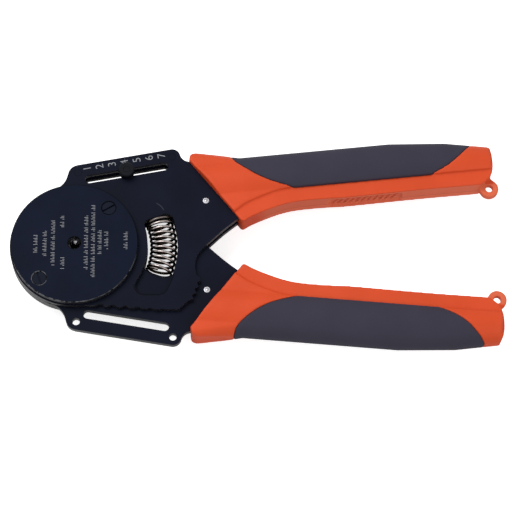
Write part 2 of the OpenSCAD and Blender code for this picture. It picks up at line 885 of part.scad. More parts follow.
// Round clip that keeps the pin in the rear plate
module selector_clip() {
    low = rear_face - slide_gap - clip_t;
    color("#8a8c92") translate([slot_x, slot_y, low]) difference() {
        cylinder(d = clip_d, h = clip_t, $fn = 48);
        translate([0, 0, -cut]) cylinder(d = slot_w - 2 * pin_gap, h = clip_t + 2 * cut, $fn = 36);
    }
}

// Knurled knob and stem of the contact locator
module locator_knob() {
    color("#2a2c35") difference() {
        union() {
            translate([0, 0, dial_low]) cylinder(d = dial_d, h = dial_h, $fn = 96);
            translate([0, 0, dial_low]) cylinder(d = stem_d, h = stem_top - dial_low, $fn = 72);
        }
        translate([0, 0, dial_low - cut])
            cylinder(d = stop_d + 2 * running_gap, h = stem_top - dial_low + 2 * cut, $fn = 36);
        grooves(dial_grooves, dial_d / 2, groove_r, dial_low, dial_top);
    }
}

// Pin that a contact rests on, at the middle of its travel
module stop_pin() {
    color("#c9c9cf") translate([0, 0, dial_low + stop_travel])
        cylinder(d = stop_d, h = stop_tip - dial_low - stop_travel, $fn = 36);
}

// Six-sided nut that locks the locator
module lock_nut() {
    color("#3a3c45") translate([0, 0, nut_low]) difference() {
        cylinder(d = nut_d, h = nut_h, $fn = nut_n);
        translate([0, 0, -cut]) cylinder(d = stem_d + 2 * running_gap, h = nut_h + 2 * cut, $fn = 72);
    }
}

module indenter_1() { indenter(0); }
module indenter_2() { indenter(1); }
module indenter_3() { indenter(2); }
module indenter_4() { indenter(3); }

front_plate();
rear_plate();
front_cover();
rear_cover();
indenter_carrier();
cover_screws();
flange_studs();
pawl_rivet();
upper_shell();
upper_grip();
return_spring();
pawl_spring();
cam_plate();
plate_rivet();
lower_shell();
lower_grip();
indenter_1();
indenter_2();
indenter_3();
indenter_4();
selector_knob();
selector_pin();
selector_clip();
locator_knob();
stop_pin();
lock_nut();
ratchet_pawl();
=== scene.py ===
import math

import bmesh
import bpy
from mathutils import Matrix, Vector


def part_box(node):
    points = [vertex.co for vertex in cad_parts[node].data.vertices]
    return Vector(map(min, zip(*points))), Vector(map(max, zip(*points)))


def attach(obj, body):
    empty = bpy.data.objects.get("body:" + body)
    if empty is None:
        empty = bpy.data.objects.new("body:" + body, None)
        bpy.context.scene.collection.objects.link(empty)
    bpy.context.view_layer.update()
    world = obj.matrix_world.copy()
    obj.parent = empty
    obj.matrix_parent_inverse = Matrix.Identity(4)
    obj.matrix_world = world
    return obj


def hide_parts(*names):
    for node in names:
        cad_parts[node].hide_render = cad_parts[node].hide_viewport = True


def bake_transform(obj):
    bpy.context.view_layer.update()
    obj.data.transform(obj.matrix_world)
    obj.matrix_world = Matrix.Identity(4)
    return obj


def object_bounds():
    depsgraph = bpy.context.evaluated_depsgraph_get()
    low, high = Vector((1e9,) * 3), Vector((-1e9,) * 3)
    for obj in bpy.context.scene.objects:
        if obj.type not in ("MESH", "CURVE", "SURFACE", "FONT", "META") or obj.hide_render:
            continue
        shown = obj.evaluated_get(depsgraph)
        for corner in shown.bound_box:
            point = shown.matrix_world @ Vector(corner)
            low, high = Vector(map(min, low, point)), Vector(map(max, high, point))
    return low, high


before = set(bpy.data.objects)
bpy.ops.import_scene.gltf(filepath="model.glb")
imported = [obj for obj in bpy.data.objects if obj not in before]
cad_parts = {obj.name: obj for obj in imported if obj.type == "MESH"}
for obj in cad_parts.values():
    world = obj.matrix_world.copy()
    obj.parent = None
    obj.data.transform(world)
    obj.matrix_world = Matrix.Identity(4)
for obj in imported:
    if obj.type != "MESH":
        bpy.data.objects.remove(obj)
cad_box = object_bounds()
scene = bpy.context.scene

# Camera
# The tool lies on its rear face and is seen from its lower side, 68 degrees above the table,
# through a long lens about four tool lengths away that is rolled a little about its own axis.
picture_side = 520
pixels_per_metre = 2100
head_axis_pixel = (74.24, 242.61)
sensor_width = 36
camera_distance = 0.8792
camera_tilt = math.radians(21.86)
camera_azimuth = math.radians(5.567)
camera_roll = math.radians(-4.670)

turn = Matrix.Rotation(-camera_azimuth, 3, "Z")
level = turn @ Vector((1, 0, 0))
rise = turn @ Vector((0, math.cos(camera_tilt), math.sin(camera_tilt)))
back = turn @ Vector((0, -math.sin(camera_tilt), math.cos(camera_tilt)))
across = level * math.cos(camera_roll) - rise * math.sin(camera_roll)
upward = level * math.sin(camera_roll) + rise * math.cos(camera_roll)
camera = bpy.data.objects.new("camera", bpy.data.cameras.new("camera"))
camera.data.sensor_width = sensor_width
camera.data.lens = sensor_width * pixels_per_metre * camera_distance / picture_side
camera.matrix_world = Matrix((across, upward, back)).transposed().to_4x4()
camera.location = (
    across * (picture_side / 2 - head_axis_pixel[0]) / pixels_per_metre
    + upward * (head_axis_pixel[1] - picture_side / 2) / pixels_per_metre
    + back * camera_distance
)
scene.collection.objects.link(camera)
scene.camera = camera

# Steel plates
# Three pressed plates carry the head and the tangs: front and rear are fixed, the one between them
# turns. They are blackened, satin and almost flat in colour; the cut walls shine a little more and
# the edges are dark, with grey painted highlights on some of them.


class Wire:
    """A socket that can stand in a Python expression: maths on it adds Math nodes."""

    def __init__(self, graph, socket):
        self.graph = graph
        self.socket = socket

    def maths(self, operation, *others):
        sockets = dict(enumerate((self, *others)))
        return self.graph.node("ShaderNodeMath", sockets, operation=operation)

    def __add__(self, other):
        return self.maths("ADD", other)

    def __sub__(self, other):
        return self.maths("SUBTRACT", other)

    def __rsub__(self, other):
        return self * -1 + other

    def __mul__(self, other):
        return self.maths("MULTIPLY", other)

    def __truediv__(self, other):
        return self.maths("DIVIDE", other)

    __radd__ = __add__
    __rmul__ = __mul__

    def length_with(self, other):
        """How far the point lies from 0, 0 that has this wire and the other as its coordinates."""
        return (self * self + other * other).maths("SQRT")

    def near(self, value, width):
        """1 where the wire is close to value, falling to 0 at that width."""
        share = (self - value).maths("ABSOLUTE") / width
        return (1 - share).maths("MAXIMUM", 0).maths("SMOOTH_MIN", 1, 0.2)

    def above(self, value, softness):
        """0 below value and 1 above it, over a short soft step."""
        sockets = {0: self, 1: value - softness, 2: value + softness}
        return self.graph.node("ShaderNodeMapRange", sockets, interpolation_type="SMOOTHSTEP")

    def below(self, value, softness):
        """1 below value and 0 above it, over a short soft step."""
        return (value - self).above(0, softness)


class Graph:
    """A node tree, with one method that adds any node to it and sets or links its sockets."""

    def __init__(self, tree):
        self.tree = tree

    def node(self, kind, sockets=None, output=0, **settings):
        made = self.tree.nodes.new(kind)
        for name, value in settings.items():
            setattr(made, name, value)
        for key, value in (sockets or {}).items():
            if isinstance(value, Wire):
                self.tree.links.new(value.socket, made.inputs[key])
            else:
                made.inputs[key].default_value = value
        return Wire(self, made.outputs[output])


class Finish(Graph):
    """The node tree of one material, on the Object coordinates of its piece."""

    def __init__(self, name, **values):
        self.material = bpy.data.materials.new(name)
        self.material.use_nodes = True
        super().__init__(self.material.node_tree)
        self.shader = self.tree.nodes["Principled BSDF"]
        for key, value in values.items():
            self.shader.inputs[key.replace("_", " ")].default_value = value
        self.place = self.node("ShaderNodeTexCoord", output="Object")

    def noise(self, scale, detail=2.0, roughness=0.5, stretch=None):
        """Soft noise from 0 to 1; scale counts its grains per metre, stretch drags them out."""
        place = self.place
        if stretch:
            place = self.node("ShaderNodeMapping", {"Vector": place, "Scale": stretch})
        return self.node(
            "ShaderNodeTexNoise",
            {"Vector": place, "Scale": scale, "Detail": detail, "Roughness": roughness},
        )

    def axes(self):
        """The three coordinates of the place, as wires."""
        split = self.node("ShaderNodeSeparateXYZ", {0: self.place})
        return [Wire(self, output) for output in split.socket.node.outputs]

    def mix(self, factor, first, second):
        """Goes from the first colour to the second as factor goes from 0 to 1."""
        colours = [c if isinstance(c, Wire) else (*c, 1) for c in (first, second)]
        sockets = {0: factor, 6: colours[0], 7: colours[1]}
        return self.node("ShaderNodeMix", sockets, output=2, data_type="RGBA")

    def fed(self, key):
        """The wire that feeds one of the shader's sockets so far."""
        return Wire(self, self.shader.inputs[key].links[0].from_socket)

    def feed(self, **wires):
        """Links wires to the shader's sockets, in place of what fed them."""
        for key, wire in wires.items():
            self.tree.links.new(wire.socket, self.shader.inputs[key.replace("_", " ")])
        return self

    def bump(self, height, depth, strength=1.0):
        """Raises the surface by depth, in metres, where height is 1."""
        sockets = {"Height": height, "Distance": depth, "Strength": strength}
        self.feed(Normal=self.node("ShaderNodeBump", sockets))
        return self


def blackened(name, low, high, scratch):
    """Satin black on steel: fine grain, broad cloudiness and a few fine rubbed streaks."""
    finish = Finish(name, Specular_IOR_Level=0.035)
    cloud = finish.noise(scale=55, detail=3)
    grain = finish.noise(scale=2600, detail=4, roughness=0.65)
    streak = finish.noise(scale=30, detail=4, roughness=0.7, stretch=(1, 38, 1)).above(0.72, 0.05)
    colour = finish.mix(cloud.above(0.5, 0.25), low, high)
    finish.feed(
        Base_Color=finish.mix(streak * 0.5, colour, scratch),
        Roughness=0.34 + grain * 0.16 + cloud * 0.08 - streak * 0.06,
    )
    return finish.bump(grain, depth=0.00001, strength=0.5)


plate_black = blackened(
    "plate_black", (0.0044, 0.0056, 0.0125), (0.0062, 0.0076, 0.0175), (0.014, 0.016, 0.026)
)
x, y, z = plate_black.axes()

# A painted highlight: a grey arc beside the window on the front plate, bright on its upper right
# part only
highlight_arc_centre = (0.0355, 0.0145)
highlight_arc_from = (0.0036, 0.0034)
highlight_arc_radius, highlight_arc_width = 0.0078, 0.00022
highlight_arc_grey = (0.10, 0.11, 0.13)
reach_x, reach_y = x - highlight_arc_centre[0], y - highlight_arc_centre[1]
beside = reach_x.above(highlight_arc_from[0], 0.0005) * reach_y.above(highlight_arc_from[1], 0.0005)
painted_highlight_arc = reach_x.length_with(reach_y).near(highlight_arc_radius, highlight_arc_width) * beside
plate_black_with_highlight = plate_black.mix(painted_highlight_arc * 0.6, plate_black.fed("Base Color"), highlight_arc_grey)

# Painted shade in a thin dark line along the lower end of the window on the front plate: its foot,
# its two round corners and the lower stretch of its outer side
front_face, front_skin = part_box("front_plate")[1].z, 0.0002
shade_line_away, shade_line_width, shade_line_fade = 0.0005, 0.0006, 0.0003
shade_line_black = (0.0008, 0.0010, 0.0020)
window_foot, window_side_radius = -0.0252, 0.0492
side_foot, side_top = -0.0230, -0.0150
painted_shade_line = y.near(window_foot - shade_line_away, shade_line_width)
for corner_x, corner_y, corner_radius, corner_top, way in (
    (0.0334, -0.0207, 0.0045, side_foot + 0.0025, -1), (0.0399, -0.0212, 0.0040, side_foot, 1),
):
    right, up = x - corner_x, y - corner_y
    beyond = (right * way).above(0, shade_line_fade)
    rounded = right.length_with(up).near(corner_radius + shade_line_away, shade_line_width) * beyond
    painted_shade_line = painted_shade_line * (1 - beyond) + rounded * y.below(corner_top, shade_line_fade)
on_side = x.length_with(y).near(window_side_radius + shade_line_away, shade_line_width)
painted_shade_line = painted_shade_line + on_side * y.below(side_top, shade_line_width) * y.above(side_foot, shade_line_fade)
on_front = z.above(front_face - front_skin, front_skin / 2)
painted_shade_line = painted_shade_line.maths("MINIMUM", 1) * on_front
plate_black.feed(Base_Color=plate_black.mix(painted_shade_line, plate_black_with_highlight, shade_line_black))

# Grey painted highlights on the dark edges, where they catch the light, broken into patches: at the
# fork between the handles, along the lower flange, on the lower left of the head, at the lower
# right of the disc and along the teeth of the front plate
dark_rim = Finish("dark_rim", Specular_IOR_Level=0.05)
rim_black, rim_highlight_grey = (0.0010, 0.0011, 0.0016), (0.11, 0.112, 0.122)
fork_centre, fork_reach = (0.072, 0.010), 0.020
flange_edge = -0.0405
head_side, head_below = 0.005, -0.012
disc_radius, disc_side, disc_below = 0.0301, 0.002, -0.008
teeth_side, teeth_radius = 0.046, 0.052
x, y = dark_rim.axes()[:2]
from_axis = x.length_with(y)
low_down = y.below(head_below, 0.003)
at_fork = (x - fork_centre[0]).length_with(y - fork_centre[1]).below(fork_reach, 0.004)
at_flange = y.below(flange_edge, 0.0015)
at_head = x.below(head_side, 0.003) * low_down
at_disc = from_axis.near(disc_radius, 0.0008) * x.above(disc_side, 0.005)
at_disc = at_disc * y.below(disc_below, 0.004)
at_teeth = x.above(teeth_side, 0.002) * from_axis.above(teeth_radius, 0.002) * low_down
lit_edge_share = at_fork * 0.5 + at_flange + at_head + at_disc * 0.6 + at_teeth * 0.7
patches = dark_rim.noise(scale=420, detail=3, roughness=0.6).above(0.46, 0.08)
dark_rim.feed(
    Base_Color=dark_rim.mix(lit_edge_share.maths("MINIMUM", 1) * patches, rim_black, rim_highlight_grey),
    Roughness=0.42 + dark_rim.noise(scale=1800, detail=3) * 0.2,
).bump(dark_rim.noise(scale=2200, detail=3), depth=0.00001, strength=0.4)

cut_wall = Finish("cut_wall", Specular_IOR_Level=0.5)
saw_marks = cut_wall.noise(scale=700, detail=4, roughness=0.6, stretch=(1, 1, 0.15))
cut_wall.feed(
    Base_Color=cut_wall.mix(saw_marks, (0.006, 0.006, 0.008), (0.014, 0.014, 0.017)),
    Roughness=0.30 + saw_marks * 0.14,
).bump(saw_marks, depth=0.00001, strength=0.4)


def dressed(shape, name, *finishes):
    """Ends a bmesh as a mesh that carries the finishes."""
    mesh = bpy.data.meshes.new(name)
    shape.to_mesh(mesh)
    shape.free()
    for finish in finishes:
        mesh.materials.append(finish.material)
    return mesh


weld_gap, flat_angle = 1e-6, math.radians(0.2)


def copy_of(node, name, *finishes):
    """A welded copy of a CAD node's mesh, with the flat triangles of each face joined."""
    shape = bmesh.new()
    shape.from_mesh(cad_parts[node].data)
    bmesh.ops.remove_doubles(shape, verts=shape.verts, dist=weld_gap)
    bmesh.ops.dissolve_limit(
        shape, angle_limit=flat_angle, verts=shape.verts, edges=shape.edges, delimit={"NORMAL"}
    )
    return dressed(shape, name, *finishes)


def place_piece(name, mesh, body, slot, *nodes):
    """Puts a finished mesh in the scene, on its body and in place of its CAD nodes."""
    piece = bpy.data.objects.new(name, mesh)
    scene.collection.objects.link(piece)
    if body:
        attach(piece, body)
    if nodes:
        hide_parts(*nodes)
    return piece


level_face, upright_face = 0.999, 0.3
sharp_angle, smooth_angle = math.radians(30), math.radians(28)


def eased(node, name, width, face_finish, edge_finish, wall_finish=None, segments=2):
    """A copy of a CAD node with its sharp edges broken by a small round."""
    mesh = copy_of(node, name, face_finish, edge_finish, wall_finish or face_finish)
    shape = bmesh.new()
    shape.from_mesh(mesh)
    for face in shape.faces:
        face.material_index = 2 if wall_finish and abs(face.normal.z) < upright_face else 0
    joined = [edge for edge in shape.edges if len(edge.link_faces) == 2]
    sharp = [edge for edge in joined if edge.calc_face_angle() > sharp_angle]
    bmesh.ops.bevel(
        shape, geom=sharp, offset=width, segments=segments, profile=0.5, affect="EDGES",
        clamp_overlap=True, material=1,
    )
    for face in shape.faces:
        face.smooth = abs(face.normal.z) < level_face
    for edge in shape.edges:
        edge.smooth = len(edge.link_faces) != 2 or edge.calc_face_angle() < smooth_angle
    shape.to_mesh(mesh)
    shape.free()
    return mesh


plate_edge = 0.0003
plate_bodies = {"front_plate": "frame", "rear_plate": "frame", "cam_plate": "moving_handle"}
for node, body in plate_bodies.items():
    mesh = eased(node, node + "_pressed", plate_edge, plate_black, dark_rim, cut_wall)
    place_piece(node + "_pressed", mesh, body, "black_oxide", node)

# Printed numbers of the seven settings
# Plain light grey figures stand beside the slot of the upper flange, turned so that their tops face
# the left end of the slot. The knob hides part of the one that it points to.
slot_angle = math.radians(10.2)
slot_centre = Vector((0.02465, 0.0377))
setting_pitch = 0.0061
settings = 7
figure_height = 0.0039
capital_share = 0.7
figure_rise = 0.0058
figure_thinning = -0.00006
print_lift = 0.00002


def printed(name, fresh, worn):
    """Thin matt paint that has rubbed away in small patches."""
    finish = Finish(name, Roughness=0.55)
    rubbed = finish.noise(scale=1500, detail=4, roughness=0.7).above(0.60, 0.12)
    finish.feed(Base_Color=finish.mix(rubbed, fresh, worn))
    return finish.bump(finish.noise(scale=3000), depth=0.00001, strength=0.3)


figure_grey = printed("figure_grey", (0.25, 0.26, 0.28), (0.08, 0.085, 0.10))

sheet = bmesh.new()
along = Vector((math.cos(slot_angle), math.sin(slot_angle)))
aside = Vector((-along.y, along.x))
for setting in range(settings):
    text = bpy.data.curves.new("figure", "FONT")
    text.body = str(setting + 1)
    text.size = figure_height / capital_share
    text.offset = figure_thinning
    text.align_x = text.align_y = "CENTER"
    figure = bpy.data.objects.new("figure", text)
    flat = bpy.data.meshes.new_from_object(figure)
    steps = setting - (settings - 1) / 2
    spot = slot_centre + along * setting_pitch * steps + aside * figure_rise
    flat.transform(
        Matrix.Translation((spot.x, spot.y, front_face + print_lift))
        @ Matrix.Rotation(slot_angle + math.pi / 2, 4, "Z")
    )
    sheet.from_mesh(flat)
    bpy.data.objects.remove(figure)
mesh = dressed(sheet, "setting_numbers", figure_grey)
place_piece("setting_numbers", mesh, "frame", "black_oxide")

# Covers
# Two turned discs close the head, both with a broken edge. The front one has recesses for the
# screws and light columns of fine plain ticks beside the contact entry.
cover_black = blackened(
    "cover_black", (0.0036, 0.0058, 0.0150), (0.0050, 0.0078, 0.0205), (0.014, 0.017, 0.030)
)
disc_edges = {"front_cover": 0.0004, "rear_cover": 0.0005}
for node, width in disc_edges.items():
    mesh = eased(node, node + "_disc", width, cover_black, dark_rim, cut_wall, segments=3)
    place_piece(node + "_disc", mesh, "frame", "cover_black", node)

# The ticks of a column stand in groups, with one tick left out after each group. Their lengths are
# shares of the column's width, and a column is given by its middle and its two ends.
tick_grey = printed("tick_grey", (0.26, 0.265, 0.28), (0.08, 0.085, 0.10))
tick_width = 0.00024
tick_pitch = 0.00078
column_width = 0.0019
tick_shares = (1, 0.45, 1, 0.7)
group_ticks = (7, 4, 9, 3, 6)
columns = (
    (-0.01845, -0.0058, 0.0040), (-0.01412, -0.0075, 0.0061), (-0.0102, -0.0122, 0.0114),
    (-0.00592, 0.0073, 0.0138), (-0.00553, -0.0139, -0.0076), (0.00555, -0.0143, 0.0139),
    (0.00885, -0.0194, 0.0193), (0.0120, -0.0067, 0.0061), (0.01514, -0.0046, 0.0054),
    (0.02437, -0.0043, 0.0053),
)
cover_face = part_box("front_cover")[1].z
sheet = bmesh.new()
for number, (column_x, low, high) in enumerate(columns):
    group, left = number, group_ticks[number % len(group_ticks)]
    for tick in range(int((high - low) / tick_pitch)):
        if left == 0:
            group += 1
            left = group_ticks[group % len(group_ticks)]
            continue
        left -= 1
        share = tick_shares[(tick + group) % len(tick_shares)]
        start_x = column_x + column_width * (0.5 - share)
        tick_y = high - tick * tick_pitch
        end_x = column_x + column_width / 2
        foot_y = tick_y - tick_width
        corners = ((start_x, foot_y), (end_x, foot_y), (end_x, tick_y), (start_x, tick_y))
        sheet.faces.new([sheet.verts.new((*corner, cover_face + print_lift)) for corner in corners])
mesh = dressed(sheet, "cover_ticks", tick_grey)
place_piece("cover_ticks", mesh, "frame", "cover_black")

# Cover screws and flange studs
# Blackened slotted screws clamp the head and sit just below the disc; the studs hold the flanges
# of the outer plates apart and are as dark as the plates.
screw_black = Finish("screw_black", Specular_IOR_Level=0.05)
screw_grain = screw_black.noise(scale=1900, detail=4, roughness=0.6)
screw_dark, screw_blue = (0.004, 0.006, 0.014), (0.006, 0.009, 0.020)
screw_black.feed(
    Base_Color=screw_black.mix(screw_grain.above(0.55, 0.2), screw_dark, screw_blue),
    Roughness=0.36 + screw_grain * 0.2,
).bump(screw_grain, depth=0.00002, strength=0.5)
screw_edge = Finish("screw_edge", Specular_IOR_Level=0.4)
turned_marks = screw_edge.noise(scale=1200, detail=3).above(0.5, 0.2)
screw_edge.feed(
    Base_Color=screw_edge.mix(turned_marks, (0.010, 0.012, 0.020), (0.035, 0.038, 0.050)),
    Roughness=0.28 + turned_marks * 0.1,
).bump(turned_marks, depth=0.00001, strength=0.3)
fine_edge = 0.0001
mesh = eased("cover_screws", "cover_screws_slotted", fine_edge, screw_black, screw_edge)
place_piece("cover_screws_slotted", mesh, "frame", "screw_black", "cover_screws")
mesh = eased("flange_studs", "flange_studs_dark", fine_edge, plate_black, dark_rim)
place_piece("flange_studs_dark", mesh, "frame", "screw_black", "flange_studs")

# Hub and indenters
# The hub is ground steel with four guides. Four polished indenters point at the middle of the
# contact entry and move in together as the handles close.


def ground(name, low, high, rough, along=None):
    """Bare steel with fine tool marks, which along drags out in one direction."""
    finish = Finish(name, Metallic=1.0)
    marks = finish.noise(scale=1400, detail=5, roughness=0.7, stretch=along)
    cloud = finish.noise(scale=90)
    finish.feed(
        Base_Color=finish.mix(marks * 0.6 + cloud * 0.4, low, high),
        Roughness=rough + marks * 0.14 + cloud * 0.05,
    )
    return finish.bump(marks, depth=0.00001, strength=0.5)


hub_steel = ground("hub_steel", (0.22, 0.225, 0.24), (0.42, 0.43, 0.45), rough=0.30)
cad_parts["indenter_carrier"].material_slots[0].material = hub_steel.material
indenter_steel = ground(
    "indenter_steel", (0.30, 0.30, 0.32), (0.46, 0.46, 0.48), rough=0.22, along=(1, 1, 6)
)
indenter_edge = 0.00008
for number, letter in enumerate("abcd", 1):
    node = f"indenter_{number}"
    mesh = eased(node, node + "_polished", indenter_edge, indenter_steel, indenter_steel)
    place_piece(node + "_polished", mesh, "indenter_" + letter, "indenter_steel", node)

# Rivets
# Two bright turned rivets stand near the handles: the pawl swings on the upper one, and the lower
# one is fixed in the moving plate. Each has a soft rim and a shallow dimple with a ring of painted
# shade.
turned_angle = math.radians(32)


def turned(name, outline, around, finish, centre=(0, 0), radius_at=None):
    """Turns an outline of (radius, height) points about +Z, in as many steps as around says.

    Points at radius 0 are poles that close it; an outline without poles closes on itself.
    """
    shape = bmesh.new()
    rings = []
    for radius, height in outline:
        if radius == 0:
            rings.append([shape.verts.new((centre[0], centre[1], height))])
            continue
        ring = []
        for step in range(around):
            angle = 2 * math.pi * step / around
            reach = radius_at(angle, radius, height) if radius_at else radius
            ring.append(shape.verts.new(
                (centre[0] + reach * math.cos(angle), centre[1] + reach * math.sin(angle), height)
            ))
        rings.append(ring)
    has_poles = len(rings[0]) == 1
    for first, second in zip(rings, rings[1:] + ([] if has_poles else rings[:1])):
        for step in range(around):
            after = (step + 1) % around
            corners = [first[step % len(first)], first[after % len(first)]]
            corners += [second[after % len(second)], second[step % len(second)]]
            shape.faces.new(list(dict.fromkeys(corners)))
    bmesh.ops.recalc_face_normals(shape, faces=shape.faces)
    for face in shape.faces:
        face.smooth = True
    for edge in shape.edges:
        edge.smooth = edge.calc_face_angle() < turned_angle
    return dressed(shape, name, finish)


rivet_steel = ground("rivet_steel", (0.30, 0.30, 0.32), (0.46, 0.46, 0.48), rough=0.30)
rim = 0.0003
rim_soft = rim * 0.3
dimple = ((0.62, 0.1), (0.54, 0.7), (0.40, 0.7), (0.30, 0.4), (0, 0.35))
# A darker ring of painted shade lies on the floor of the dimple
dimple_shade_share, dimple_shade_width = 0.52, 0.00028
dimple_shade_brown = (0.060, 0.056, 0.060)
low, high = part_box("pawl_rivet")
rivet_centre = (low + high) / 2
x, y = rivet_steel.axes()[:2]
from_centre = (x - rivet_centre.x).length_with(y.maths("ABSOLUTE") - rivet_centre.y)
dimple_shade = from_centre.near((high.x - low.x) / 2 * dimple_shade_share, dimple_shade_width)
bare = rivet_steel.fed("Base Color")
rivet_steel.feed(Base_Color=rivet_steel.mix(dimple_shade * 0.5, bare, dimple_shade_brown))
for node, body in (("pawl_rivet", "frame"), ("plate_rivet", "moving_handle")):
    low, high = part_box(node)
    radius = (high.x - low.x) / 2
    outline = [
        (0, low.z), (radius - rim, low.z), (radius, low.z + rim), (radius, high.z - rim),
        (radius - rim_soft, high.z - rim_soft), (radius - rim, high.z),
    ]
    outline += [(radius * share, high.z - rim * drop) for share, drop in dimple]
    centre = ((low.x + high.x) / 2, (low.y + high.y) / 2)
    mesh = turned(node + "_head", outline, around=48, finish=rivet_steel, centre=centre)
    place_piece(node + "_head", mesh, body, "rivet_steel", node)

# Return spring
# An open coil of bright drawn wire lies along an arc in the window. Its upper end rests on the
# fixed plates and its lower end on the moving one, which squeezes it as the handles close.


class Builder(Graph):
    """A Geometry Nodes tree with named inputs for the sizes of its piece."""

    def __init__(self, name, **sizes):
        """The key of each size, with spaces, is the name of its input."""
        super().__init__(bpy.data.node_groups.new(name, "GeometryNodeTree"))
        self.sizes = {}
        for key, value in sizes.items():
            kind = "NodeSocketInt" if isinstance(value, int) else "NodeSocketFloat"
            label = key.replace("_", " ")
            item = self.tree.interface.new_socket(name=label, in_out="INPUT", socket_type=kind)
            self.sizes[item.identifier] = value
        self.tree.interface.new_socket(
            name="Geometry", in_out="OUTPUT", socket_type="NodeSocketGeometry"
        )
        entry = self.tree.nodes.new("NodeGroupInput")
        self.size = {socket.name: Wire(self, socket) for socket in entry.outputs if socket.name}

    def make(self, name, geometry, finish):
        """Ends the tree with one material, runs it once and returns the plain mesh."""
        real = self.node("GeometryNodeRealizeInstances", {0: geometry})
        coated = self.node("GeometryNodeSetMaterial", {0: real, "Material": finish.material})
        self.tree.links.new(coated.socket, self.tree.nodes.new("NodeGroupOutput").inputs[0])
        carrier = bpy.data.objects.new(name, bpy.data.meshes.new(name))
        scene.collection.objects.link(carrier)
        modifier = carrier.modifiers.new(name, "NODES")
        modifier.node_group = self.tree
        for identifier, value in self.sizes.items():
            modifier[identifier] = value
        view = bpy.context.evaluated_depsgraph_get()
        mesh = bpy.data.meshes.new_from_object(carrier.evaluated_get(view), depsgraph=view)
        bpy.data.objects.remove(carrier)
        return mesh


spring_low, spring_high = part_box("return_spring")
spring_z = (spring_low.z + spring_high.z) / 2
wire = 0.0013
arc_radius = 0.042
arc_bow = 0.0005
arc_turn = math.radians(18.8)
coil_radius = (spring_high.z - spring_low.z - wire) / 2
end_pitch = wire * 1.2
coil = Builder(
    "arc_spring", Turns=11.5, Steps_per_turn=44, Wire_sides=16, Arc_radius=arc_radius,
    Arc_bow=arc_bow, Arc_turn=arc_turn, Coil_radius=coil_radius, Wire_radius=wire / 2,
    End_pitch=end_pitch, Level=spring_z,
)

# The wire's path: one closely wound turn at each end and evenly open turns between them, about an
# arc that bulges a little in its middle
size = coil.size
turns = size["Turns"]
line = coil.node("GeometryNodeCurvePrimitiveLine")
bead_count = turns * size["Steps per turn"] + 1
beads = coil.node("GeometryNodeResampleCurve", {"Curve": line, "Count": bead_count})
turned_by = coil.node("GeometryNodeInputIndex") / size["Steps per turn"]
open_turns = turns - 2
end_step = size["End pitch"] / size["Arc radius"]
open_step = (size["Arc turn"] * 2 - end_step * 2) / open_turns
opened = (turned_by - 1).maths("MAXIMUM", 0).maths("MINIMUM", open_turns)
ends = turned_by.maths("MINIMUM", 1) + (turned_by - turns + 1).maths("MAXIMUM", 0)
along_arc = ends * end_step + opened * open_step - size["Arc turn"]
swing = turned_by * (2 * math.pi) + math.pi / 2
bowed = (along_arc / size["Arc turn"] * (math.pi / 2)).maths("COSINE") * size["Arc bow"]
reach = size["Arc radius"] + bowed + size["Coil radius"] * swing.maths("COSINE")
spot = coil.node("ShaderNodeCombineXYZ", {
    0: reach * along_arc.maths("COSINE"),
    1: reach * along_arc.maths("SINE"),
    2: size["Level"] + size["Coil radius"] * swing.maths("SINE"),
})
path = coil.node("GeometryNodeSetPosition", {"Geometry": beads, "Position": spot})
wire_size = {"Resolution": size["Wire sides"], "Radius": size["Wire radius"]}
section = coil.node("GeometryNodeCurvePrimitiveCircle", wire_size)
swept = {"Curve": path, "Profile Curve": section, "Fill Caps": True}
solid = coil.node("GeometryNodeCurveToMesh", swept)
smooth = coil.node("GeometryNodeSetShadeSmooth", {"Geometry": solid})

# Painted light and shade: a painted highlight on the crown of each coil and painted brown shade on
# its flanks and inside; the painted highlights grow darker towards both ends
spring_steel = Finish("spring_steel", Metallic=1.0)
painted_shade_brown, painted_highlight_bright = (0.024, 0.016, 0.012), (0.45, 0.40, 0.38)
crown_highlight_from, crown_highlight_fade, crown_highlight_sway = coil_radius + wire * 0.43, wire * 0.09, 0.0003
end_shade_reach, end_shade_fade = 0.028, 0.012
x, y, z = spring_steel.axes()
sweep = y.maths("ARCTAN2", x)
bow = (sweep * (math.pi / 2 / arc_turn)).maths("COSINE") * arc_bow
from_middle = (x.length_with(y) - bow - arc_radius).length_with(z - spring_z)
drawn = spring_steel.noise(scale=1500, detail=4, roughness=0.7, stretch=(1, 3, 1))
crown_highlight = (from_middle + (drawn - 0.5) * crown_highlight_sway).above(crown_highlight_from, crown_highlight_fade)
away_from_ends = (arc_turn - sweep.maths("ABSOLUTE")).above(end_shade_reach, end_shade_fade)
crown_highlight = crown_highlight * (0.25 + away_from_ends * 0.75)
spring_steel.feed(
    Base_Color=spring_steel.mix(crown_highlight, painted_shade_brown, painted_highlight_bright),
    Roughness=0.16 + drawn * 0.14,
).bump(drawn, depth=0.00001, strength=0.4)
mesh = coil.make("return_spring_coil", smooth, spring_steel)
spring = place_piece("return_spring_coil", mesh, None, "spring_steel", "return_spring")
end_x = arc_radius * math.cos(arc_turn)
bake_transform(spring)

# Ratchet pawl and its leaf spring
# A small ground pawl swings on the upper rivet between the outer plates, its point above the teeth
# of the moving plate. A bent leaf of spring steel presses on its back.
pin_steel = ground("pin_steel", (0.30, 0.305, 0.32), (0.50, 0.51, 0.53), rough=0.28)
mesh = eased("ratchet_pawl", "ratchet_pawl_ground", fine_edge, pin_steel, pin_steel)
place_piece("ratchet_pawl_ground", mesh, "pawl", "pin_steel", "ratchet_pawl")

leaf_steel = ground("leaf_steel", (0.16, 0.155, 0.15), (0.34, 0.335, 0.33), rough=0.24)
mesh = copy_of("pawl_spring", "pawl_spring_leaf", leaf_steel)
leaf = place_piece("pawl_spring_leaf", mesh, None, "spring_steel", "pawl_spring")
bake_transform(leaf)

